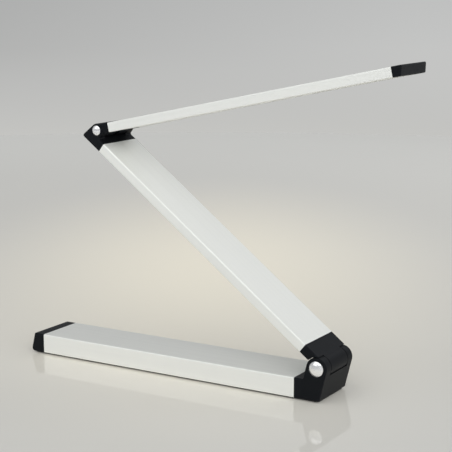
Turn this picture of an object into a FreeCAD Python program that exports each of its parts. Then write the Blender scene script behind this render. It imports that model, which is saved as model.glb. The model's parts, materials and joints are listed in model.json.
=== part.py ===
import FreeCAD, Part
import math
import os

# LED desk lamp that folds flat: a weighted base bar, a lower arm and a light head,
# three bars of one width joined by two friction hinges. All lengths are in mm.
# Everything is drawn folded, with X along the base towards the hinge, Y across and
# Z up from the table, and is then swung open to the angles of the photograph.

Vec = FreeCAD.Vector

# Sizes that the whole lamp shares
bar_width = 53.2
slant_angle = 14.0
cut_overrun = 1.0
plug_gap = 0.1
fit_gap = 0.03
running_gap = 0.05

# Angles at rest and the travel of both hinges, in degrees from folded
arm_rest_angle = 37.3
head_rest_angle = 12.1
head_travel = 150.0

# Base bar
base_length = 280.0
base_height = 18.8
base_wall = 1.6
base_corner = 1.4
base_plug_length = 16.0
base_plug_wall = 1.5
mat_thickness = 1.6
mat_side_margin = 2.0
mat_heel_margin = 3.6
mat_toe_margin = 1.2
mat_corner = 3.0
end_cap_top_length = 11.6
end_cap_hollow = 7.5
end_cap_foot_round = 3.4
end_foot_round = 2.0
moulding_round = 1.2

# Lower arm
arm_length = 268.6
arm_thickness = 9.2
arm_wall = 1.2
arm_corner = 1.2
arm_plug_length = 14.0

# Lower hinge, pivot measured from the end and the top of the base tube
low_pivot_reach = 21.7
low_pivot_rise = 10.75
low_ear_radius = 10.1
low_ear_thickness = 9.6
low_swing_gap = 0.8
low_foot_round = 2.0
arm_lift = 0.45
arm_cap_reach = 21.2
low_shank_radius = 3.0
low_head_radius = 6.9
low_dome_height = 3.0
low_bush_wall = 2.0
low_bush_length = 10.0
low_washer_radius = 8.4
low_washer_thickness = 0.8
low_sleeve_wall = 1.2
low_groove_floor = 6.0
low_groove_start = 150.0
low_groove_sweep = 180.0

# Upper hinge, pivot measured from the end and the top face of the lower arm
high_cap_reach = 14.0
high_pivot_rise = 4.95
high_ear_radius = 6.4
high_ear_thickness = 9.6
high_swing_gap = 0.4
high_foot_round = 1.5
fork_heel_round = 2.0
head_drop = 3.85
head_cap_reach = 14.2
high_shank_radius = 2.0
high_head_radius = 4.6
high_dome_height = 2.1
high_bush_wall = 1.3
high_bush_length = 10.0
high_washer_radius = 5.4
high_washer_thickness = 0.6
high_sleeve_wall = 0.9
high_groove_floor = 4.0
high_groove_start = 110.0
high_groove_sweep = 220.0
slot_width = 1.0
slot_depth = 0.9
slot_turn = 18.0

# Light head
head_length = 290.5
head_side_wall = 1.4
head_top_wall = 1.2
head_lip_width = 1.8
head_lip_height = 2.0
head_plug_length = 12.0
tip_cap_top_length = 9.5
tip_plug_length = 10.0
diffuser_flange = 1.4
diffuser_recess = 0.3
diffuser_gap = 0.15
led_board_width = 40.0
led_board_thickness = 1.2
led_board_margin = 2.0
led_size = 5.0
led_height = 1.6
led_window_radius = 2.0
led_window_depth = 0.3
led_pitch = 8.0

# Ballast in the base
ballast_width = 42.0
ballast_thickness = 9.0
ballast_start_gap = 5.0
ballast_end_gap = 6.0
ballast_screw_share = 0.15
ballast_screw_depth = 6.0

# Driver board, inlet and switch in the base
board_length = 54.0
board_thickness = 1.6
board_side_gap = 0.5
board_front_gap = 0.5
post_radius = 2.6
post_inset = 4.0
post_spread = 30.0
pan_radius = 2.2
pan_height = 1.3
inlet_offset = 11.0
inlet_width = 9.0
inlet_length = 14.0
inlet_headroom = 0.2
inlet_bore_radius = 3.15
inlet_bore_depth = 10.0
inlet_pin_radius = 1.05
inlet_pin_length = 9.0
inlet_window_radius = 5.2
switch_width = 8.0
switch_length = 10.0
switch_height = 9.4
switch_setback = 6.5
switch_hole_radius = 1.9
switch_hole_depth = 4.0
button_radius = 4.0
button_gap = 0.3
button_stand = 1.8
button_flange_radius = 5.0
button_flange_thickness = 1.2
button_flange_gap = 0.1
button_stem_radius = 1.5
button_stem_entry = 1.5
button_round = 0.5
capacitor_radius = 4.0
capacitor_length = 12.0
coil_radius = 4.5
coil_height = 6.0
chip_length = 6.0
chip_width = 5.0
chip_height = 1.6
connector_length = 6.0
connector_width = 8.0
connector_height = 9.0
parts_spacing = 12.0

# Wires
wire_radius = 1.1
wire_hole_radius = 1.5
wire_bend = 4.0
wire_rest_gap = 0.05
wire_end_gap = 2.0

# Small countersunk screws, all driven upwards from underneath
screw_radius = 1.1
screw_head_radius = 2.2
screw_head_depth = 1.1
screw_side_share = 0.3
screw_tip_cover = 0.4
recess_width = 0.6
recess_reach = 1.4
recess_depth = 0.8

# Derived places in the folded pose
half = bar_width / 2
lean = math.tan(math.radians(slant_angle))
slant_cos = math.cos(math.radians(slant_angle))
slant_sin = math.sin(math.radians(slant_angle))
tube_left = -base_length / 2
tube_right = base_length / 2
base_bottom = mat_thickness
base_top = base_bottom + base_height
base_floor = base_bottom + base_wall
base_ceiling = base_top - base_wall
low_x = tube_right + low_pivot_reach
low_z = base_top + low_pivot_rise
arm_bottom = low_z + arm_lift
arm_top = arm_bottom + arm_thickness
arm_right = low_x - arm_cap_reach
arm_left = arm_right - arm_length
high_x = arm_left - high_cap_reach
high_z = arm_top + high_pivot_rise
head_bottom = high_z - head_drop
head_top = head_bottom + arm_thickness
head_left = high_x + head_cap_reach
head_right = head_left + head_length
low_inner = half - low_ear_thickness
high_inner = half - high_ear_thickness
low_barrel = low_inner - low_washer_thickness - running_gap
high_barrel = high_inner - high_washer_thickness - running_gap
head_open_angle = arm_rest_angle + head_rest_angle
plug_inner_half = half - base_wall - plug_gap - base_plug_wall
hollow_floor = base_floor + plug_gap + base_plug_wall
hollow_ceiling = base_ceiling - plug_gap - base_plug_wall
hollow_front = tube_left - end_cap_hollow
board_front = hollow_front + board_front_gap
board_back = board_front + board_length
board_top = hollow_floor + board_thickness
inlet_z = (board_top + hollow_ceiling - inlet_headroom) / 2
ballast_left = board_back + ballast_start_gap
ballast_right = tube_right - base_plug_length - ballast_end_gap
ballast_top = base_floor + ballast_thickness
wire_z = ballast_top + wire_radius + wire_rest_gap
arm_wire_z = arm_bottom + arm_wall + wire_radius + wire_rest_gap
channel_ceiling = head_top - head_top_wall
flange_bottom = head_bottom + head_lip_height
flange_top = flange_bottom + diffuser_flange
head_plug_bottom = flange_top + diffuser_gap
led_board_bottom = channel_ceiling - led_board_thickness
head_wire_z = led_board_bottom - wire_radius - wire_rest_gap
led_board_left = head_left + head_plug_length + led_board_margin
led_board_right = head_right - tip_plug_length - led_board_margin


def block(x0, x1, y0, y1, z0, z1):
    """A box between two corners."""
    return Part.makeBox(x1 - x0, y1 - y0, z1 - z0, Vec(x0, y0, z0))


def middle_block(x0, x1, half_width, z0, z1):
    """A box that lies evenly about the middle plane of the lamp."""
    return block(x0, x1, -half_width, half_width, z0, z1)


def rod(x, z, radius, y0, y1):
    """A cylinder across the lamp."""
    return Part.makeCylinder(radius, y1 - y0, Vec(x, y0, z), Vec(0, 1, 0))


def post(x, y, radius, z0, z1):
    """An upright cylinder."""
    return Part.makeCylinder(radius, z1 - z0, Vec(x, y, z0), Vec(0, 0, 1))


def long_rod(y, z, radius, x0, x1):
    """A cylinder along the lamp."""
    return Part.makeCylinder(radius, x1 - x0, Vec(x0, y, z), Vec(1, 0, 0))


def slab(outline, half_width):
    """An outline in X and Z drawn out evenly across the lamp."""
    corners = [Vec(x, -half_width, z) for x, z in outline]
    face = Part.Face(Part.makePolygon(corners + corners[:1]))
    return face.extrude(Vec(0, 2 * half_width, 0))


def turned(shape, x, z, angle):
    """A copy turned about a line across the lamp; a positive angle lifts the left."""
    copy = shape.copy()
    copy.rotate(Vec(x, 0, z), Vec(0, 1, 0), angle)
    return copy


def both_sides(make, inner, outer):
    """The same piece on the near and the far side, as two solids."""
    return [make(-outer, -inner), make(inner, outer)]


def is_along_x(edge):
    """True for an edge that runs along the lamp."""
    box = edge.BoundBox
    return box.XLength > box.YLength + box.ZLength


def is_clear_of(edge, x):
    """True for an edge that does not lie in the joint plane at x."""
    box = edge.BoundBox
    return abs(box.XMin - x) > fit_gap or abs(box.XMax - x) > fit_gap


def is_on_side(edge):
    """True for an edge of the near or the far face."""
    box = edge.BoundBox
    return box.YLength < fit_gap and abs(abs(box.YMin) - half) < fit_gap


def is_across_at(edge, x, z):
    """True for an edge across the lamp through one point of the outline."""
    box = edge.BoundBox
    flat = box.XLength < fit_gap and box.ZLength < fit_gap
    return flat and abs(box.XMin - x) < fit_gap and abs(box.ZMin - z) < fit_gap


def bar(x0, x1, z0, z1, corner):
    """A full-width bar along the lamp with rounded long edges."""
    solid = middle_block(x0, x1, half, z0, z1)
    return solid.makeFillet(corner, [e for e in solid.Edges if is_along_x(e)])


def screw(x, y, z, length):
    """A countersunk screw with a cross recess, head flush at z, tip above."""
    head = Part.makeCone(screw_head_radius, screw_radius, screw_head_depth, Vec(x, y, z))
    solid = head.fuse(post(x, y, screw_radius, z, z + length))
    arm = recess_width / 2
    low = z - cut_overrun
    high = z + recess_depth
    across = block(x - arm, x + arm, y - recess_reach, y + recess_reach, low, high)
    along = block(x - recess_reach, x + recess_reach, y - arm, y + arm, low, high)
    return solid.cut(across).cut(along).removeSplitter()


def screw_hole(x, y, z, length):
    """The room that a countersunk screw takes up, with a little air round it."""
    rim = screw_head_radius + fit_gap
    neck = screw_radius + fit_gap
    head = Part.makeCone(rim, neck, screw_head_depth, Vec(x, y, z))
    mouth = post(x, y, rim, z - cut_overrun, z)
    return head.fuse([mouth, post(x, y, neck, z, z + length + fit_gap)])


def pair_places(x):
    """Two screw places across the lamp at one x."""
    side = bar_width * screw_side_share
    return [(x, -side), (x, side)]


def pie(x, z, radius, y0, y1, start, sweep):
    """A sector of a disc across the lamp, its angles counted from +X towards +Z."""
    solid = Part.makeCylinder(radius, y1 - y0, Vec(0, 0, 0), Vec(0, 0, 1), sweep)
    solid.rotate(Vec(0, 0, 0), Vec(1, 0, 0), 90)
    solid.rotate(Vec(0, 0, 0), Vec(0, 1, 0), -start)
    solid.translate(Vec(x, y1, z))
    return solid


def wire_groove(x, z, floor, radius, start, sweep):
    """The open groove round a barrel through which the wire passes."""
    reach = 2 * wire_hole_radius
    ring = pie(x, z, radius + cut_overrun, -reach, reach, start, sweep)
    return ring.cut(rod(x, z, floor, -reach - cut_overrun, reach + cut_overrun))


def bent_wire(start, corner, end):
    """A round wire from start to end with one square corner bent round."""
    back = (start - corner).normalize()
    ahead = (end - corner).normalize()
    bend_in = corner + back * wire_bend
    bend_out = corner + ahead * wire_bend
    middle = corner + (back + ahead) * wire_bend * (1 - math.sqrt(2) / 2)
    path = Part.Wire([
        Part.makeLine(start, bend_in),
        Part.Arc(bend_in, middle, bend_out).toShape(),
        Part.makeLine(bend_out, end),
    ])
    ring = Part.Wire(Part.makeCircle(wire_radius, start, back))
    return path.makePipeShell([ring], True, False)


# Hinge hardware, shared by both hinges


def domed(x, z, face, side, dome_radius, dome_height, inner_radius, depth):
    """A domed head on an outer face with a round shank behind it."""
    ball = (dome_radius ** 2 + dome_height ** 2) / (2 * dome_height)
    top = Vec(0, 0, dome_height)
    rim = Vec(dome_radius, 0, 0)
    part_way = math.asin(dome_radius / ball) / 2
    bulge = Vec(ball * math.sin(part_way), 0, dome_height - ball * (1 - math.cos(part_way)))
    neck = Vec(inner_radius, 0, 0)
    toe = Vec(inner_radius, 0, -depth)
    end = Vec(0, 0, -depth)
    outline = [
        Part.Arc(top, bulge, rim).toShape(),
        Part.makeLine(rim, neck),
        Part.makeLine(neck, toe),
        Part.makeLine(toe, end),
        Part.makeLine(end, top),
    ]
    solid = Part.Face(Part.Wire(outline)).revolve(Vec(0, 0, 0), Vec(0, 0, 1), 360)
    solid.rotate(Vec(0, 0, 0), Vec(1, 0, 0), -side * 90)
    solid.translate(Vec(x, side * face, z))
    return solid


def hinge_bolt(x, z, shank, dome_radius, dome_height, sleeve_depth):
    """The near domed bolt, long enough to reach into the far sleeve nut."""
    return domed(x, z, half, -1, dome_radius, dome_height, shank, bar_width - sleeve_depth)


def hinge_nut(x, z, shank, dome_radius, dome_height, sleeve_wall, sleeve_depth):
    """The far domed nut with its sleeve, bored for the bolt."""
    solid = domed(x, z, half, 1, dome_radius, dome_height, shank + sleeve_wall, sleeve_depth)
    bore = rod(x, z, shank + fit_gap, half - sleeve_depth - cut_overrun, half)
    return solid.cut(bore)


def rings(x, z, outer, bore, near, far):
    """Two equal rings on the hinge line, one on each side."""
    def ring(y0, y1):
        hole = rod(x, z, bore, y0 - cut_overrun, y1 + cut_overrun)
        return rod(x, z, outer, y0, y1).cut(hole)
    return Part.makeCompound(both_sides(ring, near, far))


def ear_holes(x, z, shank, sleeve_wall, inner):
    """Bolt hole in the near ear and sleeve hole in the far ear."""
    near = rod(x, z, shank + running_gap, -half - cut_overrun, -inner + cut_overrun)
    sleeve = shank + sleeve_wall + running_gap
    far = rod(x, z, sleeve, inner - cut_overrun, half + cut_overrun)
    return near.fuse(far)


# Base


def ear_outline_low():
    """Side view of the hinge block below its round ears."""
    tip_x = low_x + low_ear_radius * slant_cos
    tip_z = low_z - low_ear_radius * slant_sin
    back_x = low_x - low_ear_radius * slant_cos
    back_z = low_z + low_ear_radius * slant_sin
    foot_x = tip_x - (tip_z - base_bottom) * lean
    heel_x = back_x - (back_z - base_top) * lean
    return [
        (tube_right, base_bottom),
        (foot_x, base_bottom),
        (tip_x, tip_z),
        (back_x, back_z),
        (heel_x, base_top),
        (tube_right, base_top),
    ]


def end_cap_foot():
    """Where the leaning face of the end cap meets the underside."""
    return tube_left - end_cap_top_length - base_height * lean


def base_screw_places():
    """Where the four screws of the base mouldings sit, on the underside."""
    inset = base_plug_length / 2
    return pair_places(tube_left + inset) + pair_places(tube_right - inset)


def base_screw_length():
    """Screws end inside the floor of the plugs, clear of the driver board."""
    return base_wall + plug_gap + base_plug_wall - screw_tip_cover


def ballast_screw_places():
    """Where the two screws of the ballast bar sit."""
    inset = (ballast_right - ballast_left) * ballast_screw_share
    return [(ballast_left + inset, 0), (ballast_right - inset, 0)]


def base_plug(x0, x1):
    """The hollow plug of a base moulding that fits inside the tube."""
    half_width = half - base_wall - plug_gap
    return middle_block(x0, x1, half_width, base_floor + plug_gap, base_ceiling - plug_gap)


def make_base_tube():
    """Aluminium box extrusion with its screw holes underneath."""
    outer = bar(tube_left, tube_right, base_bottom, base_top, base_corner)
    left = tube_left - cut_overrun
    right = tube_right + cut_overrun
    solid = outer.cut(middle_block(left, right, half - base_wall, base_floor, base_ceiling))
    for x, y in base_screw_places() + ballast_screw_places():
        solid = solid.cut(screw_hole(x, y, base_bottom, base_screw_length()))
    return solid


def make_base_end_cap():
    """Black end moulding with a leaning face, an inlet window and a button hole."""
    top_x = tube_left - end_cap_top_length
    foot_x = end_cap_foot()
    solid = slab([
        (tube_left, base_bottom),
        (tube_left, base_top),
        (top_x, base_top),
        (foot_x, base_bottom),
    ], half)
    heel = [e for e in solid.Edges if is_across_at(e, foot_x, base_bottom)]
    solid = solid.makeFillet(end_cap_foot_round, heel)
    rim = [e for e in solid.Edges if is_clear_of(e, tube_left)]
    solid = solid.makeFillet(base_corner, rim)
    plug_end = tube_left + base_plug_length
    solid = solid.fuse(base_plug(tube_left, plug_end))
    inside = plug_end + cut_overrun
    hollow = middle_block(hollow_front, inside, plug_inner_half, hollow_floor, hollow_ceiling)
    solid = solid.cut(hollow)
    out = foot_x - cut_overrun
    solid = solid.cut(long_rod(inlet_offset, inlet_z, inlet_window_radius, out, tube_left))
    button_hole = button_radius + button_gap
    solid = solid.cut(long_rod(-inlet_offset, inlet_z, button_hole, out, tube_left))
    for x, y in pair_places(tube_left + base_plug_length / 2):
        solid = solid.cut(screw_hole(x, y, base_bottom, base_screw_length()))
    return solid.removeSplitter()


def make_hinge_block():
    """Black moulding with two round ears and a cradle for the barrel between them."""
    outline = ear_outline_low()
    disc = rod(low_x, low_z, low_ear_radius, -half, half)
    solid = slab(outline, half).fuse(disc).removeSplitter()
    toe_x, toe_z = outline[1]
    heel_x, heel_z = outline[4]
    toe = [e for e in solid.Edges if is_across_at(e, toe_x, toe_z)]
    solid = solid.makeFillet(end_foot_round, toe)
    heel = [e for e in solid.Edges if is_across_at(e, heel_x, heel_z)]
    solid = solid.makeFillet(low_foot_round, heel)
    rim = [e for e in solid.Edges if is_on_side(e) and is_clear_of(e, tube_right)]
    solid = solid.makeFillet(moulding_round, rim)
    cradle = low_ear_radius + low_swing_gap
    solid = solid.cut(rod(low_x, low_z, cradle, -low_inner, low_inner))
    plug_end = tube_right - base_plug_length
    solid = solid.fuse(base_plug(plug_end, tube_right))
    inside = plug_end - cut_overrun
    hollow_end = low_x - low_ear_radius / 2 + wire_hole_radius
    hollow = middle_block(inside, hollow_end, plug_inner_half, hollow_floor, hollow_ceiling)
    solid = solid.cut(hollow)
    wire_x = hollow_end - wire_hole_radius
    solid = solid.cut(post(wire_x, 0, wire_hole_radius, hollow_floor + cut_overrun, low_z))
    solid = solid.cut(ear_holes(low_x, low_z, low_shank_radius, low_sleeve_wall, low_inner))
    for x, y in pair_places(tube_right - base_plug_length / 2):
        solid = solid.cut(screw_hole(x, y, base_bottom, base_screw_length()))
    return solid.removeSplitter()


def make_base_cap_screws():
    """Four screws that hold the two mouldings in the base tube."""
    long = base_screw_length()
    return Part.makeCompound([screw(x, y, base_bottom, long) for x, y in base_screw_places()])


def make_anti_slip_mat():
    """Rubber mat stuck to the underside, from end to end."""
    toe_x = ear_outline_low()[1][0]
    left = end_cap_foot() + mat_heel_margin
    right = toe_x - mat_toe_margin
    solid = middle_block(left, right, half - mat_side_margin, 0, base_bottom)
    upright = [e for e in solid.Edges if e.BoundBox.ZLength > mat_thickness / 2]
    return solid.makeFillet(mat_corner, upright)


def make_ballast_bar():
    """Steel weight on the floor of the base tube."""
    solid = middle_block(ballast_left, ballast_right, ballast_width / 2, base_floor, ballast_top)
    for x, y in ballast_screw_places():
        solid = solid.cut(screw_hole(x, y, base_bottom, ballast_screw_depth))
    return solid


def make_ballast_screws():
    """Two screws that hold the weight, their heads covered by the mat."""
    places = ballast_screw_places()
    return Part.makeCompound([screw(x, y, base_bottom, ballast_screw_depth) for x, y in places])


def board_screw_places():
    """Where the driver board is screwed to its two posts."""
    x = board_back - post_inset
    return [(x, -post_spread / 2), (x, post_spread / 2)]


def make_driver_board():
    """Driver board, carried by the plug of the end cap and by two posts."""
    wide = plug_inner_half - board_side_gap
    solid = middle_block(board_front, board_back, wide, hollow_floor, board_top)
    low = hollow_floor - cut_overrun
    high = board_top + cut_overrun
    for x, y in board_screw_places():
        solid = solid.cut(post(x, y, screw_radius + fit_gap, low, high))
    return solid


def make_board_posts():
    """Two posts between the floor of the tube and the driver board."""
    places = board_screw_places()
    return Part.makeCompound([post(x, y, post_radius, base_floor, hollow_floor) for x, y in places])


def make_board_screws():
    """Two round-headed screws through the driver board down to its posts."""
    def pan(x, y):
        head = post(x, y, pan_radius, board_top, board_top + pan_height)
        return head.fuse(post(x, y, screw_radius, hollow_floor, board_top)).removeSplitter()
    return Part.makeCompound([pan(x, y) for x, y in board_screw_places()])


def make_driver_parts():
    """Capacitor, coil, driver chip and wire connector on the board."""
    first = hollow_front + inlet_length + parts_spacing
    capacitor = rod(first, board_top + capacitor_radius, capacitor_radius, 0, capacitor_length)
    coil = post(first, -parts_spacing, coil_radius, board_top, board_top + coil_height)
    chip_x = first + parts_spacing
    chip_top = board_top + chip_height
    chip = block(chip_x, chip_x + chip_length, -chip_width, 0, board_top, chip_top)
    plug_x = board_back - connector_length
    plug_top = board_top + connector_height
    plug = middle_block(plug_x, board_back, connector_width / 2, board_top, plug_top)
    return Part.makeCompound([capacitor, coil, chip, plug])


def make_dc_socket():
    """Power inlet, a moulded block with a round bore."""
    side = inlet_width / 2
    near = inlet_offset - side
    far = inlet_offset + side
    top = hollow_ceiling - inlet_headroom
    solid = block(board_front, board_front + inlet_length, near, far, board_top, top)
    mouth = board_front - cut_overrun
    bore_end = board_front + inlet_bore_depth
    return solid.cut(long_rod(inlet_offset, inlet_z, inlet_bore_radius, mouth, bore_end))


def make_dc_pin():
    """Contact pin in the middle of the inlet."""
    bore_end = board_front + inlet_bore_depth
    return long_rod(inlet_offset, inlet_z, inlet_pin_radius, bore_end - inlet_pin_length, bore_end)


def make_push_switch():
    """Switch body that the button stem pushes into."""
    side = switch_width / 2
    left = hollow_front + switch_setback
    right = left + switch_length
    top = board_top + switch_height
    solid = block(left, right, -inlet_offset - side, -inlet_offset + side, board_top, top)
    mouth = left - cut_overrun
    hole_end = left + switch_hole_depth
    return solid.cut(long_rod(-inlet_offset, inlet_z, switch_hole_radius, mouth, hole_end))


def make_power_button():
    """Round push button, its front face parallel to the leaning end face."""
    y = -inlet_offset
    face_x = tube_left - end_cap_top_length - (base_top - inlet_z) * lean
    front = face_x - button_stand / slant_cos
    tall = button_radius * lean
    flange_left = hollow_front + button_flange_gap
    flange_right = flange_left + button_flange_thickness
    stem_end = hollow_front + switch_setback + button_stem_entry
    body = long_rod(y, inlet_z, button_radius, front - tall, flange_left)
    low = inlet_z - button_radius - cut_overrun
    high = inlet_z + button_radius + cut_overrun
    low_x_cut = front - (inlet_z - low) * lean
    high_x_cut = front + (high - inlet_z) * lean
    out = low_x_cut - cut_overrun
    body = body.cut(slab([(out, low), (low_x_cut, low), (high_x_cut, high), (out, high)], half))
    tip = [e for e in body.Edges if e.BoundBox.XMax < face_x]
    body = body.makeFillet(button_round, tip)
    flange = long_rod(y, inlet_z, button_flange_radius, flange_left, flange_right)
    stem = long_rod(y, inlet_z, button_stem_radius, flange_right, stem_end)
    return body.fuse([flange, stem]).removeSplitter()


def make_base_wire():
    """Wire from the driver board over the ballast and up to the lower hinge."""
    rise_x = low_x - low_ear_radius / 2
    start = Vec(board_back, 0, wire_z)
    corner = Vec(rise_x, 0, wire_z)
    end = Vec(rise_x, 0, base_top)
    return bent_wire(start, corner, end)


# Lower arm


def arm_plug(x0, x1):
    """The plug of an arm moulding that fits inside the arm tube."""
    half_width = half - arm_wall - plug_gap
    low = arm_bottom + arm_wall + plug_gap
    high = arm_top - arm_wall - plug_gap
    return middle_block(x0, x1, half_width, low, high)


def arm_screw_places():
    """Where the four screws of the arm mouldings sit, on the underside."""
    inset = arm_plug_length / 2
    return pair_places(arm_left + inset) + pair_places(arm_right - inset)


def arm_screw_length():
    """Screws end a little below the top wall of the arm."""
    return arm_thickness - arm_wall - plug_gap - screw_tip_cover


def make_lower_arm_tube():
    """Flat aluminium tube of the lower arm."""
    outer = bar(arm_left, arm_right, arm_bottom, arm_top, arm_corner)
    left = arm_left - cut_overrun
    right = arm_right + cut_overrun
    low = arm_bottom + arm_wall
    high = arm_top - arm_wall
    solid = outer.cut(middle_block(left, right, half - arm_wall, low, high))
    for x, y in arm_screw_places():
        solid = solid.cut(screw_hole(x, y, arm_bottom, arm_screw_length()))
    return solid


def make_lower_arm_knuckle():
    """Black moulding with the barrel that turns between the ears of the base."""
    solid = bar(arm_right, low_x, arm_bottom, arm_top, arm_corner)
    notch = low_ear_radius + low_swing_gap

    def ear_room(y0, y1):
        return rod(low_x, low_z, notch, y0, y1)

    for cutter in both_sides(ear_room, low_barrel, half + cut_overrun):
        solid = solid.cut(cutter)
    solid = solid.fuse(rod(low_x, low_z, low_ear_radius, -low_barrel, low_barrel))
    plug_end = arm_right - arm_plug_length
    solid = solid.fuse(arm_plug(plug_end, arm_right))
    bush = low_shank_radius + low_bush_wall + fit_gap
    solid = solid.cut(rod(low_x, low_z, bush, -half, half))
    groove = wire_groove(
        low_x, low_z, low_groove_floor, low_ear_radius, low_groove_start, low_groove_sweep,
    )
    solid = solid.cut(groove)
    inside = plug_end - cut_overrun
    solid = solid.cut(long_rod(0, arm_wire_z, wire_hole_radius, inside, low_x - low_groove_floor))
    for x, y in pair_places(arm_right - arm_plug_length / 2):
        solid = solid.cut(screw_hole(x, y, arm_bottom, arm_screw_length()))
    return solid.removeSplitter()


def make_lower_arm_fork():
    """Black moulding with the two ears that carry the head."""
    tip_x = high_x - high_ear_radius * slant_cos
    tip_z = high_z + high_ear_radius * slant_sin
    heel_x = tip_x - (tip_z - arm_bottom) * lean
    flank_x = high_x + high_ear_radius
    outline = [
        (arm_left, arm_bottom),
        (heel_x, arm_bottom),
        (tip_x, tip_z),
        (flank_x, high_z),
        (flank_x, arm_top),
        (arm_left, arm_top),
    ]
    disc = rod(high_x, high_z, high_ear_radius, -half, half)
    solid = slab(outline, half).fuse(disc).removeSplitter()
    heel = [e for e in solid.Edges if is_across_at(e, heel_x, arm_bottom)]
    solid = solid.makeFillet(fork_heel_round, heel)
    foot = [e for e in solid.Edges if is_across_at(e, flank_x, arm_top)]
    solid = solid.makeFillet(high_foot_round, foot)
    rim = [e for e in solid.Edges if is_on_side(e) and is_clear_of(e, arm_left)]
    solid = solid.makeFillet(arm_corner, rim)
    cradle = high_ear_radius + high_swing_gap
    solid = solid.cut(rod(high_x, high_z, cradle, -high_inner, high_inner))
    over = high_z + cradle
    solid = solid.cut(middle_block(high_x, arm_left + cut_overrun, high_inner, arm_top, over))
    reach = high_x + 2 * high_ear_radius
    roof = head_top + high_swing_gap
    open_head = middle_block(high_x, reach, high_inner, head_bottom, roof)
    solid = solid.cut(turned(open_head, high_x, high_z, -head_travel))
    plug_end = arm_left + arm_plug_length
    solid = solid.fuse(arm_plug(arm_left, plug_end))
    solid = solid.cut(long_rod(0, arm_wire_z, wire_hole_radius, high_x, plug_end + cut_overrun))
    solid = solid.cut(post(high_x, 0, wire_hole_radius, arm_wire_z, high_z))
    solid = solid.cut(ear_holes(high_x, high_z, high_shank_radius, high_sleeve_wall, high_inner))
    for x, y in pair_places(arm_left + arm_plug_length / 2):
        solid = solid.cut(screw_hole(x, y, arm_bottom, arm_screw_length()))
    return solid.removeSplitter()


def make_arm_cap_screws():
    """Four screws that hold the two mouldings in the arm tube."""
    long = arm_screw_length()
    return Part.makeCompound([screw(x, y, arm_bottom, long) for x, y in arm_screw_places()])


def make_arm_wire():
    """Wire along the floor of the arm tube."""
    left = high_x + wire_end_gap
    right = low_x - low_groove_floor - wire_end_gap
    return long_rod(0, arm_wire_z, wire_radius, left, right)


# Head


def head_plug(x0, x1):
    """The plug of a head moulding, above the diffuser in the channel."""
    half_width = half - head_side_wall - plug_gap
    return middle_block(x0, x1, half_width, head_plug_bottom, channel_ceiling - plug_gap)


def head_screw_places():
    """Where the four screws of the head mouldings sit, above the diffuser."""
    inner = head_left + head_plug_length / 2
    outer = head_right - tip_plug_length / 2
    return pair_places(inner) + pair_places(outer)


def head_screw_length():
    """Screws end inside the top wall of the channel without showing."""
    return head_top - screw_tip_cover - head_plug_bottom


def make_head_channel():
    """Aluminium channel, open underneath between two lips."""
    solid = bar(head_left, head_right, head_bottom, head_top, arm_corner)
    left = head_left - cut_overrun
    right = head_right + cut_overrun
    side = half - head_side_wall
    solid = solid.cut(middle_block(left, right, side, flange_bottom, channel_ceiling))
    mouth = head_bottom - cut_overrun
    solid = solid.cut(middle_block(left, right, side - head_lip_width, mouth, channel_ceiling))
    roof = head_top - screw_tip_cover + fit_gap
    for x, y in head_screw_places():
        solid = solid.cut(post(x, y, screw_radius + fit_gap, flange_top, roof))
    return solid


def make_head_knuckle():
    """Black moulding with the barrel that turns between the ears of the arm."""
    solid = bar(high_x, head_left, head_bottom, head_top, arm_corner)
    notch = high_ear_radius + high_swing_gap
    far_up = 2 * high_ear_radius

    def ear_room(y0, y1):
        below = block(high_x - notch, high_x + notch, y0, y1, high_z - far_up, high_z)
        above = block(high_x - notch, high_x + notch, y0, y1, high_z, high_z + far_up)
        swung = turned(above, high_x, high_z, head_travel - 180 + slant_angle)
        return rod(high_x, high_z, notch, y0, y1).fuse([below, swung])

    for cutter in both_sides(ear_room, high_barrel, half + cut_overrun):
        solid = solid.cut(cutter)
    solid = solid.fuse(rod(high_x, high_z, high_ear_radius, -high_barrel, high_barrel))
    plug_end = head_left + head_plug_length
    solid = solid.fuse(head_plug(head_left, plug_end))
    bush = high_shank_radius + high_bush_wall + fit_gap
    solid = solid.cut(rod(high_x, high_z, bush, -half, half))
    groove = wire_groove(
        high_x, high_z, high_groove_floor, high_ear_radius, high_groove_start, high_groove_sweep,
    )
    solid = solid.cut(groove)
    outside = high_x + high_groove_floor
    inside = plug_end + cut_overrun
    solid = solid.cut(long_rod(0, head_wire_z, wire_hole_radius, outside, inside))
    for x, y in pair_places(head_left + head_plug_length / 2):
        solid = solid.cut(screw_hole(x, y, head_plug_bottom, head_screw_length()))
    return solid.removeSplitter()


def make_head_end_cap():
    """Black end moulding of the head with a leaning face."""
    top_x = head_right + tip_cap_top_length
    bottom_x = top_x - arm_thickness * lean
    solid = slab([
        (head_right, head_bottom),
        (bottom_x, head_bottom),
        (top_x, head_top),
        (head_right, head_top),
    ], half)
    rim = [e for e in solid.Edges if is_clear_of(e, head_right)]
    solid = solid.makeFillet(arm_corner, rim)
    plug_end = head_right - tip_plug_length
    solid = solid.fuse(head_plug(plug_end, head_right))
    for x, y in pair_places(head_right - tip_plug_length / 2):
        solid = solid.cut(screw_hole(x, y, head_plug_bottom, head_screw_length()))
    return solid.removeSplitter()


def make_head_cap_screws():
    """Four screws that hold the two mouldings in the channel, hidden by the diffuser."""
    long = head_screw_length()
    return Part.makeCompound([screw(x, y, head_plug_bottom, long) for x, y in head_screw_places()])


def make_led_board():
    """Light board stuck under the top wall of the channel."""
    side = led_board_width / 2
    return middle_block(led_board_left, led_board_right, side, led_board_bottom, channel_ceiling)


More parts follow.
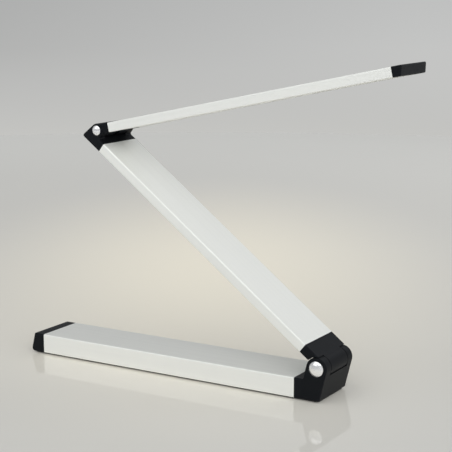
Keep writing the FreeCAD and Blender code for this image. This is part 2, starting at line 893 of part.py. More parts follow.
def make_leds():
    """One row of square light emitting diodes, each with a round window."""
    room = led_board_right - led_board_left - led_pitch
    count = int(room / led_pitch)
    middle = (led_board_left + led_board_right) / 2
    side = led_size / 2
    low = led_board_bottom - led_height
    emitters = []
    for number in range(count):
        x = middle + (number - (count - 1) / 2) * led_pitch
        body = middle_block(x - side, x + side, side, low, led_board_bottom)
        window = post(x, 0, led_window_radius, low - cut_overrun, low + led_window_depth)
        emitters.append(body.cut(window))
    return Part.makeCompound(emitters)


def make_diffuser():
    """Milky strip that rests on the lips of the channel."""
    left = head_left + diffuser_gap
    right = head_right - diffuser_gap
    side = half - head_side_wall
    flange = middle_block(left, right, side - diffuser_gap, flange_bottom, flange_top)
    window = side - head_lip_width - diffuser_gap
    face = middle_block(left, right, window, head_bottom + diffuser_recess, flange_bottom)
    return flange.fuse(face).removeSplitter()


def make_head_wire():
    """Wire from the upper hinge to the light board."""
    left = high_x + high_groove_floor + wire_end_gap
    return long_rod(0, head_wire_z, wire_radius, left, led_board_left + wire_end_gap)


# Hinge hardware of both hinges


def make_lower_hinge_bolt():
    """Near domed bolt of the lower hinge."""
    return hinge_bolt(low_x, low_z, low_shank_radius, low_head_radius, low_dome_height, fit_gap)


def make_lower_hinge_nut():
    """Far domed sleeve nut of the lower hinge."""
    return hinge_nut(
        low_x, low_z, low_shank_radius, low_head_radius, low_dome_height,
        low_sleeve_wall, low_ear_thickness,
    )


def make_lower_hinge_washers():
    """Friction washers between the ears and the barrel of the lower hinge."""
    bore = low_shank_radius + running_gap
    far = low_inner
    return rings(low_x, low_z, low_washer_radius, bore, far - low_washer_thickness, far)


def make_lower_hinge_bushes():
    """Plain bushes in the barrel of the lower hinge."""
    outer = low_shank_radius + low_bush_wall
    bore = low_shank_radius + running_gap
    return rings(low_x, low_z, outer, bore, low_barrel - low_bush_length, low_barrel)


def make_upper_hinge_bolt():
    """Near domed bolt of the upper hinge, with a screwdriver slot."""
    solid = hinge_bolt(
        high_x, high_z, high_shank_radius, high_head_radius, high_dome_height, fit_gap,
    )
    reach = high_head_radius + cut_overrun
    face = -half - high_dome_height
    mouth = face - cut_overrun
    floor = face + slot_depth
    side = slot_width / 2
    slot = block(high_x - reach, high_x + reach, mouth, floor, high_z - side, high_z + side)
    return solid.cut(turned(slot, high_x, high_z, slot_turn))


def make_upper_hinge_nut():
    """Far domed sleeve nut of the upper hinge."""
    return hinge_nut(
        high_x, high_z, high_shank_radius, high_head_radius, high_dome_height,
        high_sleeve_wall, high_ear_thickness,
    )


def make_upper_hinge_washers():
    """Friction washers between the ears and the barrel of the upper hinge."""
    bore = high_shank_radius + running_gap
    far = high_inner
    return rings(high_x, high_z, high_washer_radius, bore, far - high_washer_thickness, far)


def make_upper_hinge_bushes():
    """Plain bushes in the barrel of the upper hinge."""
    outer = high_shank_radius + high_bush_wall
    bore = high_shank_radius + running_gap
    return rings(high_x, high_z, outer, bore, high_barrel - high_bush_length, high_barrel)


# The lamp swung open and written out


def with_arm(shape):
    """Lifts a piece of the lower arm to its rest angle."""
    return turned(shape, low_x, low_z, arm_rest_angle)


def with_head(shape):
    """Opens a piece of the head from the arm and lifts it with the arm."""
    return with_arm(turned(shape, high_x, high_z, -head_open_angle))


def as_it_stands(shape):
    """Pieces of the base stay where they are drawn."""
    return shape


pieces = [
    (as_it_stands, [
        ("base_tube", make_base_tube),
        ("base_end_cap", make_base_end_cap),
        ("hinge_block", make_hinge_block),
        ("base_cap_screws", make_base_cap_screws),
        ("anti_slip_mat", make_anti_slip_mat),
        ("ballast_bar", make_ballast_bar),
        ("ballast_screws", make_ballast_screws),
        ("driver_board", make_driver_board),
        ("board_posts", make_board_posts),
        ("board_screws", make_board_screws),
        ("driver_parts", make_driver_parts),
        ("dc_socket", make_dc_socket),
        ("dc_pin", make_dc_pin),
        ("push_switch", make_push_switch),
        ("power_button", make_power_button),
        ("base_wire", make_base_wire),
        ("lower_hinge_bolt", make_lower_hinge_bolt),
        ("lower_hinge_nut", make_lower_hinge_nut),
        ("lower_hinge_washers", make_lower_hinge_washers),
    ]),
    (with_arm, [
        ("lower_arm_tube", make_lower_arm_tube),
        ("lower_arm_knuckle", make_lower_arm_knuckle),
        ("lower_arm_fork", make_lower_arm_fork),
        ("arm_cap_screws", make_arm_cap_screws),
        ("arm_wire", make_arm_wire),
        ("lower_hinge_bushes", make_lower_hinge_bushes),
        ("upper_hinge_bolt", make_upper_hinge_bolt),
        ("upper_hinge_nut", make_upper_hinge_nut),
        ("upper_hinge_washers", make_upper_hinge_washers),
    ]),
    (with_head, [
        ("head_channel", make_head_channel),
        ("head_knuckle", make_head_knuckle),
        ("head_end_cap", make_head_end_cap),
        ("head_cap_screws", make_head_cap_screws),
        ("led_board", make_led_board),
        ("leds", make_leds),
        ("diffuser", make_diffuser),
        ("head_wire", make_head_wire),
        ("upper_hinge_bushes", make_upper_hinge_bushes),
    ]),
]

os.makedirs("parts", exist_ok=True)
for placed, nodes in pieces:
    for node, make in nodes:
        placed(make()).exportStep("parts/" + node + ".step")
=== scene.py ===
import json
import math
import bmesh
import bpy
from mathutils import Matrix, Vector


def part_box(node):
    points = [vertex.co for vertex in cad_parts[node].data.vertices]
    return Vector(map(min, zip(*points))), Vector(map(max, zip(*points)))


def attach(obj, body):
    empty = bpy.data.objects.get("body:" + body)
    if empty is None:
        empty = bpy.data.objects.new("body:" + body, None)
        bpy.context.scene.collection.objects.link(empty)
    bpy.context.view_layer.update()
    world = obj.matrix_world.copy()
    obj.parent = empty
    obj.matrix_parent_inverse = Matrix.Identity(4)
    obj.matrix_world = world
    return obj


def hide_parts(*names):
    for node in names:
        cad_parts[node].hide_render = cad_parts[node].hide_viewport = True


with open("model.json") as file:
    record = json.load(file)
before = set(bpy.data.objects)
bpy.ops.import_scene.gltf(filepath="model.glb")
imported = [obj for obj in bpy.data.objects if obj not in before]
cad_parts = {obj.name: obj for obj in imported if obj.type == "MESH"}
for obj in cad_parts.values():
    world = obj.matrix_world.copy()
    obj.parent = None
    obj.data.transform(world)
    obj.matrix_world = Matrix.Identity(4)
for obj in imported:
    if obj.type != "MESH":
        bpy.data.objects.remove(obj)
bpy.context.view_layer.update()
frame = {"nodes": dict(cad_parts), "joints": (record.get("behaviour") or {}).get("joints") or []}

# Base tube: the foot of the lamp is one length of aluminium box extrusion, sawn square,
# bead blasted and clear anodised to a pale satin silver. The die leaves very fine lines
# along the bar, and a black moulding closes each end.
silver_pale = (0.862, 0.870, 0.836, 1)
silver_deep = (0.842, 0.850, 0.818, 1)
silver_metal = 0.4
silver_gloss = (0.42, 0.52)
streak_grain = (0.30, 0.004, 0.004)
line_grain = (0.06, 0.0004, 0.0004)
line_height = 0.000001
blast_grain = (0.0003, 0.0003, 0.0003)
blast_height = 0.0000012
base_lift = 0.0
grain_low, grain_high = 0.3, 0.7


def new_finish(name):
    """A fresh material, its node tree and the shader that the nodes feed."""
    made = bpy.data.materials.new(name)
    made.use_nodes = True
    return made, made.node_tree, made.node_tree.nodes["Principled BSDF"]


def grain(tree, size, lift=0.0, detail=2.0):
    """Noise with that grain size in metres, turned along a bar lifted by that many degrees."""
    place = tree.nodes.new("ShaderNodeTexCoord")
    along = tree.nodes.new("ShaderNodeMapping")
    along.vector_type = "TEXTURE"
    along.inputs["Rotation"].default_value = (0, math.radians(lift), 0)
    along.inputs["Scale"].default_value = size
    noise = tree.nodes.new("ShaderNodeTexNoise")
    noise.inputs["Scale"].default_value = 1.0
    noise.inputs["Detail"].default_value = detail
    tree.links.new(place.outputs["Object"], along.inputs["Vector"])
    tree.links.new(along.outputs["Vector"], noise.inputs["Vector"])
    return noise.outputs["Fac"]


def two_tones(tree, shader, fac, deep, pale):
    """The colour runs between two tones with the grain."""
    ramp = tree.nodes.new("ShaderNodeValToRGB")
    first, last = ramp.color_ramp.elements
    first.position, first.color = grain_low, deep
    last.position, last.color = grain_high, pale
    tree.links.new(fac, ramp.inputs["Fac"])
    tree.links.new(ramp.outputs["Color"], shader.inputs["Base Color"])


def stretch(tree, value, start, end, low=0.0, high=1.0, run="LINEAR"):
    """Carries a value from one range over to another and holds it at both ends."""
    spread = tree.nodes.new("ShaderNodeMapRange")
    spread.interpolation_type = run
    spread.inputs["From Min"].default_value = start
    spread.inputs["From Max"].default_value = end
    spread.inputs["To Min"].default_value = low
    spread.inputs["To Max"].default_value = high
    tree.links.new(value, spread.inputs["Value"])
    return spread.outputs["Result"]


def uneven_gloss(tree, shader, fac, gloss):
    """The roughness runs between two values with the grain."""
    rough = stretch(tree, fac, grain_low, grain_high, *gloss)
    tree.links.new(rough, shader.inputs["Roughness"])


def relief(tree, shader, *layers):
    """Each layer is a grain and its height in metres, one on top of the other."""
    below = None
    for fac, height in layers:
        bump = tree.nodes.new("ShaderNodeBump")
        bump.inputs["Distance"].default_value = height
        tree.links.new(fac, bump.inputs["Height"])
        if below is not None:
            tree.links.new(below, bump.inputs["Normal"])
        below = bump.outputs["Normal"]
    tree.links.new(below, shader.inputs["Normal"])


def anodised_bar(name, lift):
    """Satin silver with its fine lines along a bar lifted by that many degrees."""
    made, tree, shader = new_finish(name)
    shader.inputs["Metallic"].default_value = silver_metal
    lines = grain(tree, line_grain, lift)
    blast = grain(tree, blast_grain, lift)
    two_tones(tree, shader, grain(tree, streak_grain, lift), silver_deep, silver_pale)
    uneven_gloss(tree, shader, lines, silver_gloss)
    relief(tree, shader, (lines, line_height), (blast, blast_height))
    return made


def dress(made, *nodes):
    """Gives CAD nodes their finish."""
    for node in nodes:
        slots = frame["nodes"][node].data.materials
        slots.clear()
        slots.append(made)


dress(anodised_bar("base_silver", base_lift), "base_tube")

# Base end cap and hinge block: two injection mouldings in black glass-filled nylon with a
# fine spark-eroded texture. Each has a hollow plug that goes into the tube, and small
# screws hold it from underneath.
black_pale = (0.0064, 0.0068, 0.0080, 1)
black_deep = (0.0048, 0.0051, 0.0060, 1)
black_shine = 0.14
sheen_tint = (0.76, 0.87, 1.0, 1)
cloud_grain = (0.02, 0.02, 0.02)
pit_grain = (0.00045, 0.00045, 0.00045)
pit_detail = 4.0
pit_gloss = (0.42, 0.58)
pit_height = 0.00002


def moulded_black(name):
    """Matt black moulding with a fine even texture."""
    made, tree, shader = new_finish(name)
    shader.inputs["Specular IOR Level"].default_value = black_shine
    shader.inputs["Specular Tint"].default_value = sheen_tint
    pits = grain(tree, pit_grain, detail=pit_detail)
    two_tones(tree, shader, grain(tree, cloud_grain), black_deep, black_pale)
    uneven_gloss(tree, shader, pits, pit_gloss)
    relief(tree, shader, (pits, pit_height))
    return made


black = moulded_black("moulded_black")
dress(black, "base_end_cap", "hinge_block")

# Anti-slip mat: a strip of black rubber stuck under the base, moulded with a row of low
# ribs across it that grip the table. It covers the heads of the screws above it.
rib_pitch = 0.0045
rib_width = 0.0026
rib_depth = 0.0006
rib_edge = 0.0002
rib_border = 0.0022
mat_corner = 0.0030
mat_edge = 0.0003
least_corner = 0.00005
corner_steps = 6
rubber_pale = (0.024, 0.023, 0.022, 1)
rubber_deep = (0.012, 0.012, 0.012, 1)
rubber_shine = 0.3
rubber_gloss = (0.75, 0.9)
bloom_grain = (0.006, 0.006, 0.006)
bloom_detail = 5.0
rubber_grain = (0.0005, 0.0005, 0.0005)
rubber_height = 0.00003


def rounded_ring(low, high, corner, inset, z):
    """Points round a rectangle with rounded corners, drawn in by the inset."""
    radius = max(corner - inset, least_corner)
    x0, x1 = low[0] + inset + radius, high[0] - inset - radius
    y0, y1 = low[1] + inset + radius, high[1] - inset - radius
    points = []
    for x, y, start in ((x1, y1, 0), (x0, y1, 90), (x0, y0, 180), (x1, y0, 270)):
        for step in range(corner_steps + 1):
            a = math.radians(start + 90 * step / corner_steps)
            points.append((x + radius * math.cos(a), y + radius * math.sin(a), z))
    return points


def skin(bm, rings):
    """Joins rings of points one after the other and closes both ends."""
    rows = [[bm.verts.new(p) for p in ring] for ring in rings]
    count = len(rows[0])
    for under, over in zip(rows, rows[1:]):
        for i in range(count):
            j = (i + 1) % count
            bm.faces.new((under[i], under[j], over[j], over[i]))
    bm.faces.new(list(reversed(rows[0])))
    bm.faces.new(rows[-1])


def rubber_ribs(name):
    """Matt rubber, a little dusty, with a fine bloom."""
    made, tree, shader = new_finish(name)
    shader.inputs["Specular IOR Level"].default_value = rubber_shine
    bloom = grain(tree, bloom_grain, detail=bloom_detail)
    two_tones(tree, shader, bloom, rubber_deep, rubber_pale)
    uneven_gloss(tree, shader, bloom, rubber_gloss)
    relief(tree, shader, (grain(tree, rubber_grain), rubber_height))
    return made


def new_piece(name, bm, finish):
    """Turns a built mesh into an object with one finish and even outward faces."""
    bmesh.ops.recalc_face_normals(bm, faces=bm.faces)
    mesh = bpy.data.meshes.new(name)
    bm.to_mesh(mesh)
    bm.free()
    mesh.materials.append(finish)
    made = bpy.data.objects.new(name, mesh)
    bpy.context.scene.collection.objects.link(made)
    return made


mat_low, mat_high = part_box("anti_slip_mat")
mat_face = mat_low.z + rib_depth
bm = bmesh.new()
skin(bm, [
    rounded_ring(mat_low, mat_high, mat_corner, mat_edge, mat_face),
    rounded_ring(mat_low, mat_high, mat_corner, 0, mat_face + mat_edge),
    rounded_ring(mat_low, mat_high, mat_corner, 0, mat_high.z),
])
rib_count = int((mat_high.x - mat_low.x - 2 * rib_border) / rib_pitch)
for number in range(rib_count):
    x = (mat_low.x + mat_high.x) / 2 + (number - (rib_count - 1) / 2) * rib_pitch
    low = (x - rib_width / 2, mat_low.y + rib_border)
    high = (x + rib_width / 2, mat_high.y - rib_border)
    skin(bm, [
        rounded_ring(low, high, rib_width / 2, rib_edge, mat_low.z),
        rounded_ring(low, high, rib_width / 2, 0, mat_low.z + rib_edge),
        rounded_ring(low, high, rib_width / 2, 0, mat_face + mat_edge),
    ])
tread = new_piece("ribbed_mat", bm, rubber_ribs("ribbed_rubber"))
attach(tread, "base")
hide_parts("anti_slip_mat")

# Ballast and screws: a sawn bar of mild steel with its dark mill skin lies in the tube and
# keeps the lamp upright. Small zinc-plated screws hold it, the driver board and the
# mouldings.
speckle_detail = 4.0


def plain_finish(name, deep, pale, gloss, metal, size, height):
    """A finish of two tones with an even grain, for the pieces that are seldom seen."""
    made, tree, shader = new_finish(name)
    shader.inputs["Metallic"].default_value = metal
    speckle = grain(tree, (size, size, size), detail=speckle_detail)
    two_tones(tree, shader, speckle, deep, pale)
    uneven_gloss(tree, shader, speckle, gloss)
    relief(tree, shader, (speckle, height))
    return made


mill_steel = plain_finish(
    "mill_steel", deep=(0.10, 0.105, 0.11, 1), pale=(0.19, 0.19, 0.19, 1),
    gloss=(0.35, 0.6), metal=1.0, size=0.004, height=0.00002)
zinc = plain_finish(
    "zinc_plate", deep=(0.42, 0.43, 0.44, 1), pale=(0.60, 0.60, 0.59, 1),
    gloss=(0.22, 0.36), metal=1.0, size=0.0012, height=0.000004)
dress(mill_steel, "ballast_bar")
dress(zinc, "ballast_screws", "base_cap_screws", "board_screws")

# Driver board: a green circuit board that lies on the plug of the end cap and on two brass
# posts, with a can, a wound coil, a chip and a wire connector that feed the light strip.
solder_mask = plain_finish(
    "solder_mask", deep=(0.010, 0.085, 0.035, 1), pale=(0.016, 0.125, 0.050, 1),
    gloss=(0.25, 0.4), metal=0.0, size=0.003, height=0.00002)
brass = plain_finish(
    "turned_brass", deep=(0.50, 0.34, 0.11, 1), pale=(0.66, 0.47, 0.18, 1),
    gloss=(0.2, 0.34), metal=1.0, size=0.0008, height=0.000004)
component = plain_finish(
    "component_black", deep=(0.012, 0.012, 0.013, 1), pale=(0.022, 0.022, 0.024, 1),
    gloss=(0.4, 0.6), metal=0.0, size=0.0006, height=0.00001)
dress(solder_mask, "driver_board")
dress(brass, "board_posts")
dress(component, "driver_parts")

# Power inlet and switch: a moulded socket with a nickel pin looks out of the window in the
# end cap, and a small push switch sits beside it behind the button.
nickel = plain_finish(
    "nickel_plate", deep=(0.56, 0.54, 0.50, 1), pale=(0.70, 0.68, 0.64, 1),
    gloss=(0.14, 0.24), metal=1.0, size=0.0007, height=0.000003)
dress(component, "dc_socket", "push_switch")
dress(nickel, "dc_pin")

# Power button: a round push button in grey plastic with a satin face, which slides in the
# leaning end face and springs back.
button_grey = plain_finish(
    "button_grey", deep=(0.27, 0.275, 0.28, 1), pale=(0.33, 0.335, 0.335, 1),
    gloss=(0.3, 0.42), metal=0.0, size=0.0005, height=0.000006)
dress(button_grey, "power_button")

# Wires: thin round flex in white PVC that leads from the driver to the light strip, out of
# sight inside the bars. Each bar has its own length, which ends at the hinge.
sheath = plain_finish(
    "white_sheath", deep=(0.58, 0.57, 0.54, 1), pale=(0.68, 0.67, 0.64, 1),
    gloss=(0.35, 0.5), metal=0.0, size=0.002, height=0.00001)
dress(sheath, "base_wire", "arm_wire", "head_wire")

# Lower hinge: a domed bolt and a domed sleeve nut, turned from steel and satin chromed,
# clamp the ears on nylon washers, and the barrel turns on two plain brass bushes.
chrome_pale = (0.97, 0.97, 0.97, 1)
chrome_deep = (0.94, 0.94, 0.95, 1)
chrome_metal = 0.75
chrome_gloss = (0.14, 0.20)
turned_grain = (0.0004, 0.003, 0.0004)
turned_height = 0.000001


def satin_chrome(name):
    """Chrome over a finely turned face."""
    made, tree, shader = new_finish(name)
    shader.inputs["Metallic"].default_value = chrome_metal
    turned = grain(tree, turned_grain)
    two_tones(tree, shader, turned, chrome_deep, chrome_pale)
    uneven_gloss(tree, shader, turned, chrome_gloss)
    relief(tree, shader, (turned, turned_height))
    return made


chrome = satin_chrome("satin_chrome")
washer_nylon = plain_finish(
    "washer_nylon", deep=(0.50, 0.49, 0.46, 1), pale=(0.60, 0.59, 0.55, 1),
    gloss=(0.4, 0.55), metal=0.0, size=0.001, height=0.00001)
dress(chrome, "lower_hinge_bolt", "lower_hinge_nut")
dress(washer_nylon, "lower_hinge_washers")
dress(brass, "lower_hinge_bushes")

# Lower arm: a flat aluminium tube with the same satin anodising as the base. A black
# knuckle is plugged into its lower end and a black fork into its upper end.
arm_lift = 37.3
dress(anodised_bar("arm_silver", arm_lift), "lower_arm_tube")
dress(black, "lower_arm_knuckle", "lower_arm_fork")
dress(zinc, "arm_cap_screws")

# Upper hinge: the same kind of bolt and sleeve nut, smaller, and the near dome has a
# screwdriver slot to set the friction.
dress(chrome, "upper_hinge_bolt", "upper_hinge_nut")
dress(washer_nylon, "upper_hinge_washers")
dress(brass, "upper_hinge_bushes")

# Head: an aluminium channel, open underneath between two lips, with a black knuckle at the
# hinge and a black end cap at the tip, both screwed from inside.
head_lift = -12.1
dress(anodised_bar("head_silver", head_lift), "head_channel")
dress(black, "head_knuckle", "head_end_cap")
dress(zinc, "head_cap_screws")

# Light strip: a white circuit board stuck under the top wall of the channel, with one row
# of square light emitting diodes under yellow phosphor windows.
white_mask = plain_finish(
    "white_mask", deep=(0.66, 0.66, 0.64, 1), pale=(0.74, 0.74, 0.72, 1),
    gloss=(0.3, 0.42), metal=0.0, size=0.003, height=0.00001)
phosphor = plain_finish(
    "phosphor", deep=(0.72, 0.56, 0.16, 1), pale=(0.80, 0.66, 0.24, 1),
    gloss=(0.4, 0.55), metal=0.0, size=0.0008, height=0.00001)
dress(white_mask, "led_board")
dress(phosphor, "leds")

# Diffuser: an extruded strip of milky acrylic that slides into the channel and rests on
# its lips. Fine round ribs along its lower face spread the light. Its places are measured
# from the pivot of the upper hinge, along the head and square to it.
lens_left = 0.01435
lens_right = 0.30455
lens_face = -0.00355
lens_shelf = -0.00185
lens_top = -0.00045
lens_half = 0.02325
flange_half = 0.02505
lens_rib_pitch = 0.0012
lens_rib_depth = 0.00025
lens_rib_steps = 6
milky_pale = (0.86, 0.86, 0.83, 1)
milky_deep = (0.80, 0.80, 0.77, 1)
milky_gloss = (0.34, 0.44)
milky_share = 0.25
milky_reach = (0.004, 0.004, 0.004)
milky_grain = (0.01, 0.004, 0.004)
drawn_grain = (0.02, 0.0005, 0.0005)
drawn_height = 0.000006


def lens_section():
    """Outline of the strip across the head, its ribbed face first."""
    ribs = int(2 * lens_half / lens_rib_pitch)
    margin = lens_half - ribs * lens_rib_pitch / 2
    points = [(-lens_half, lens_face)]
    for step in range(ribs * lens_rib_steps + 1):
        y = -lens_half + margin + step * lens_rib_pitch / lens_rib_steps
        swell = abs(math.sin(math.pi * step / lens_rib_steps))
        points.append((y, lens_face + lens_rib_depth * (1 - swell)))
    points.append((lens_half, lens_face))
    points += [(lens_half, lens_shelf), (flange_half, lens_shelf), (flange_half, lens_top)]
    points += [(-flange_half, lens_top), (-flange_half, lens_shelf), (-lens_half, lens_shelf)]
    return points


def milky_acrylic(name):
    """Opal acrylic that lets light sink in a little."""
    made, tree, shader = new_finish(name)
    shader.inputs["Subsurface Weight"].default_value = milky_share
    shader.inputs["Subsurface Radius"].default_value = milky_reach
    cloud = grain(tree, milky_grain, head_lift)
    two_tones(tree, shader, cloud, milky_deep, milky_pale)
    uneven_gloss(tree, shader, cloud, milky_gloss)
    relief(tree, shader, (grain(tree, drawn_grain, head_lift), drawn_height))
    return made


pivot = next(j for j in frame["joints"] if j["name"] == "upper_hinge")["pos_m"]
head_place = Matrix.Translation(pivot) @ Matrix.Rotation(math.radians(head_lift), 4, "Y")
bm = bmesh.new()
skin(bm, [[(x, y, z) for y, z in lens_section()] for x in (lens_left, lens_right)])
bm.transform(head_place)
lens = new_piece("ribbed_diffuser", bm, milky_acrylic("milky_acrylic"))
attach(lens, "head")
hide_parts("diffuser")

# Floor and backdrop: a round floor of pale polished sheet and a matt wall that sweeps up
# from its edge, the same from every side. The floor has a painted warm pool of light behind
# the lamp, both sheets turn greyer away from it as painted falloff of light, and the wall
# has painted light that makes it a little paler to the right of the camera.
floor_reach = 2.0
sweep_radius = 1.0
wall_height = 2.4
sweep_steps = 24
round_steps = 96
# Painted falloff of light: the sheets turn from pale to grey away from the painted glow.
sheet_and_painted_falloff_tones = (
    (0.50, (0.703, 0.690, 0.646, 1)),
    (1.30, (0.705, 0.702, 0.672, 1)),
    (2.00, (0.640, 0.643, 0.633, 1)),
    (2.90, (0.470, 0.482, 0.492, 1)),
)
sheet_ior = 1.36
sheet_grain = (0.05, 0.05, 0.05)
sheet_gloss = (0.012, 0.024)
# Painted warm pool of light on the floor behind the lamp: its middle, turn, size and tone.
glow_middle = (-0.221, 0.422, 0.0)
glow_turn = 30.87
glow_size = (0.42, 0.84, 1.0)
glow_tone = (1.05, 0.985, 0.820, 1)
floor_shine = 0.09
floor_depth = 0.95
wall_shine = 0.81
wall_colour = (0, 0, 0, 1)
# Painted light on the wall: paler to the right of the camera as the wall rises.
painted_light_side = (0.858, 0.513, 0.0)
painted_light_width = 0.6
painted_light_height = 0.18
painted_light_share = 0.10


def reckon(tree, kind, operation, *given):
    """A number worked out from plain values or from the outputs of other nodes."""
    node = tree.nodes.new(kind)
    node.operation = operation
    for socket, value in zip(node.inputs, given):
        if isinstance(value, bpy.types.NodeSocket):
            tree.links.new(value, socket)
        else:
            socket.default_value = value
    return node.outputs["Value"]


def pale_sheet(name, shine):
    """Painted falloff of light: greyer with distance from the painted glow, bright to the camera
    and in mirrors only, clear from behind.
    """
    made, tree, shader = new_finish(name)
    made.cycles.emission_sampling = "NONE"
    shader.inputs["IOR"].default_value = sheet_ior
    uneven_gloss(tree, shader, grain(tree, sheet_grain), sheet_gloss)
    place = tree.nodes.new("ShaderNodeTexCoord").outputs["Object"]
    away = reckon(tree, "ShaderNodeVectorMath", "DISTANCE", place, glow_middle)
    reach = floor_reach + sweep_radius
    ramp = tree.nodes.new("ShaderNodeValToRGB")
    stops = ramp.color_ramp.elements
    for distance, tone in sheet_and_painted_falloff_tones[1:-1]:
        stops.new(distance / reach)
    for stop, (distance, tone) in zip(stops, sheet_and_painted_falloff_tones):
        stop.position = distance / reach
        stop.color = tone
    tree.links.new(stretch(tree, away, 0.0, reach), ramp.inputs["Fac"])
    tree.links.new(ramp.outputs["Color"], shader.inputs["Emission Color"])
    ray = tree.nodes.new("ShaderNodeLightPath").outputs
    mirror = reckon(
        tree, "ShaderNodeMath", "MAXIMUM", ray["Is Glossy Ray"], ray["Is Transmission Ray"])
    seen = reckon(tree, "ShaderNodeMath", "MAXIMUM", ray["Is Camera Ray"], mirror)
    level = reckon(tree, "ShaderNodeMath", "MULTIPLY", seen, shine)
    tree.links.new(level, shader.inputs["Emission Strength"])
    side = tree.nodes.new("ShaderNodeNewGeometry")
    clear = tree.nodes.new("ShaderNodeBsdfTransparent")
    either = tree.nodes.new("ShaderNodeMixShader")
    tree.links.new(side.outputs["Backfacing"], either.inputs["Fac"])
    tree.links.new(shader.outputs["BSDF"], either.inputs[1])
    tree.links.new(clear.outputs["BSDF"], either.inputs[2])
    tree.links.new(either.outputs["Shader"], tree.nodes["Material Output"].inputs["Surface"])
    return made, tree, shader


def floor_sheet(name):
    """The pale sheet with a painted warm pool of light, which also takes light and shade."""
    made, tree, shader = pale_sheet(name, floor_shine)
    tone = shader.inputs["Emission Color"].links[0].from_socket
    place = tree.nodes.new("ShaderNodeTexCoord").outputs["Object"]
    patch = tree.nodes.new("ShaderNodeMapping")
    patch.vector_type = "TEXTURE"
    patch.inputs["Location"].default_value = glow_middle
    patch.inputs["Rotation"].default_value = (0, 0, math.radians(glow_turn))
    patch.inputs["Scale"].default_value = glow_size
    tree.links.new(place, patch.inputs["Vector"])
    away = reckon(tree, "ShaderNodeVectorMath", "LENGTH", patch.outputs["Vector"])
    # Painted warm pool of light mixed into the floor tone.
    painted_glow = tree.nodes.new("ShaderNodeMixRGB")
    painted_glow.inputs["Color2"].default_value = glow_tone
    tree.links.new(stretch(tree, away, 1.0, 0.0, run="SMOOTHSTEP"), painted_glow.inputs["Fac"])
    tree.links.new(tone, painted_glow.inputs["Color1"])
    tree.links.new(painted_glow.outputs["Color"], shader.inputs["Emission Color"])
    # The base colour carries the painted glow and falloff too, scaled down a little.
    deeper = tree.nodes.new("ShaderNodeVectorMath")
    deeper.operation = "SCALE"
    deeper.inputs["Scale"].default_value = floor_depth
    tree.links.new(painted_glow.outputs["Color"], deeper.inputs[0])
    tree.links.new(deeper.outputs["Vector"], shader.inputs["Base Color"])
    return made


def wall_sheet(name):
    """The pale sheet without gloss or shade, with painted light that makes it paler on one side
    as it rises.
    """
    made, tree, shader = pale_sheet(name, wall_shine)
    shader.inputs["Base Color"].default_value = wall_colour
    shader.inputs["Specular IOR Level"].default_value = 0.0
    level = shader.inputs["Emission Strength"].links[0].from_socket
    place = tree.nodes.new("ShaderNodeTexCoord").outputs["Object"]
    # Painted light: the wall grows paler on one side and darker on the other as it rises.
    across = reckon(tree, "ShaderNodeVectorMath", "DOT_PRODUCT", place, painted_light_side)
    sides = stretch(tree, across, -painted_light_width, painted_light_width, -painted_light_share, painted_light_share)
    parts = tree.nodes.new("ShaderNodeSeparateXYZ")
    tree.links.new(place, parts.inputs["Vector"])
    rise = stretch(tree, parts.outputs["Z"], 0.0, painted_light_height)
    lean = reckon(tree, "ShaderNodeMath", "MULTIPLY", sides, rise)
    leaned = reckon(tree, "ShaderNodeMath", "MULTIPLY_ADD", lean, level, level)
    tree.links.new(leaned, shader.inputs["Emission Strength"])
    return made


def round_row(bm, radius, height):
    """One row of points round the middle."""
    turn = 2 * math.pi / round_steps
    return [
        bm.verts.new((radius * math.cos(i * turn), radius * math.sin(i * turn), height))
        for i in range(round_steps)
    ]


profile = [(floor_reach, 0.0)]
for step in range(1, sweep_steps + 1):
    a = math.radians(90 * step / sweep_steps)
    profile.append((floor_reach + sweep_radius * math.sin(a), sweep_radius * (1 - math.cos(a))))
profile.append((floor_reach + sweep_radius, wall_height))
bm = bmesh.new()
bm.faces.new(round_row(bm, floor_reach, 0.0))
floor = new_piece("paper_floor", bm, floor_sheet("floor_paper"))
bm = bmesh.new()
rows = [round_row(bm, radius, height) for radius, height in profile]
for lower, upper in zip(rows, rows[1:]):
    for i in range(round_steps):
        j = (i + 1) % round_steps
        bm.faces.new((lower[j], lower[i], upper[i], upper[j]))
wall = new_piece("paper_wall", bm, wall_sheet("wall_paper"))
wall.visible_diffuse = False
wall.visible_shadow = False
for sheet in (floor, wall):
    for face in sheet.data.polygons:
        face.use_smooth = True
if floor.data.polygons[0].normal.z < 0:
    floor.data.flip_normals()
if wall.data.polygons[-1].normal.dot(wall.data.polygons[-1].center) > 0:
    wall.data.flip_normals()

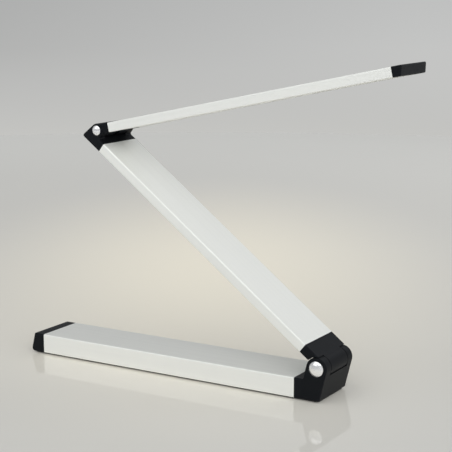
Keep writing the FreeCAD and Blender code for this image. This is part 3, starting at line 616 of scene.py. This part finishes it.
# Light: a light tent that glows all round and most from behind the camera, a wide soft box
# at the front left above the lamp and a weaker one behind it to the right, as in a small
# product studio.
air_tone = (0.98, 0.99, 1.0, 1)
air_even = 0.27
air_front = 2.95
front_way = Vector((0.66, -0.75, -0.05)).normalized()
front_power = 2.0
box_aim = (0.0, 0.0, 0.12)
left_place = (-0.85, -1.35, 2.0)
left_size = 2.2
left_power = 13.0
back_place = (0.7, 1.45, 1.65)
back_size = 1.4
back_power = 4.4
world = bpy.data.worlds.new("studio_air")
bpy.context.scene.world = world
world.use_nodes = True
tent = world.node_tree
way = tent.nodes.new("ShaderNodeTexCoord").outputs["Generated"]
towards = reckon(tent, "ShaderNodeVectorMath", "DOT_PRODUCT", way, front_way)
half_only = reckon(tent, "ShaderNodeMath", "MAXIMUM", towards, 0.0)
rounded = reckon(tent, "ShaderNodeMath", "POWER", half_only, front_power)
glow = reckon(tent, "ShaderNodeMath", "MULTIPLY_ADD", rounded, air_front, air_even)
tent.links.new(glow, tent.nodes["Background"].inputs["Strength"])
tent.nodes["Background"].inputs["Color"].default_value = air_tone


def soft_box(name, place, size, power):
    """A square area light that points at the lamp and that the camera does not see."""
    light = bpy.data.lights.new(name, "AREA")
    light.size = size
    light.energy = power
    box = bpy.data.objects.new(name, light)
    box.location = place
    box.rotation_mode = "QUATERNION"
    box.rotation_quaternion = (Vector(box_aim) - Vector(place)).to_track_quat("-Z", "Y")
    box.visible_camera = False
    bpy.context.scene.collection.objects.link(box)


soft_box("left_box", left_place, left_size, left_power)
soft_box("back_box", back_place, back_size, back_power)

# Camera: a long lens a little higher than the lamp, upright, which looks slightly down on
# the near side of the base from its hinge end. Its place was fitted to the edges of the
# bars.
camera_place = (0.65755, -1.00902, 0.36302)
camera_dip = 10.56
camera_turn = 30.87
lens_length = 104.09
sensor_width = 36.0
camera = bpy.data.cameras.new("product_camera")
camera.sensor_width = sensor_width
camera.lens = lens_length
viewer = bpy.data.objects.new("product_camera", camera)
viewer.location = camera_place
viewer.rotation_euler = (math.radians(90 - camera_dip), 0, math.radians(camera_turn))
bpy.context.scene.collection.objects.link(viewer)
bpy.context.scene.camera = viewer
bpy.context.scene.view_settings.view_transform = "Standard"
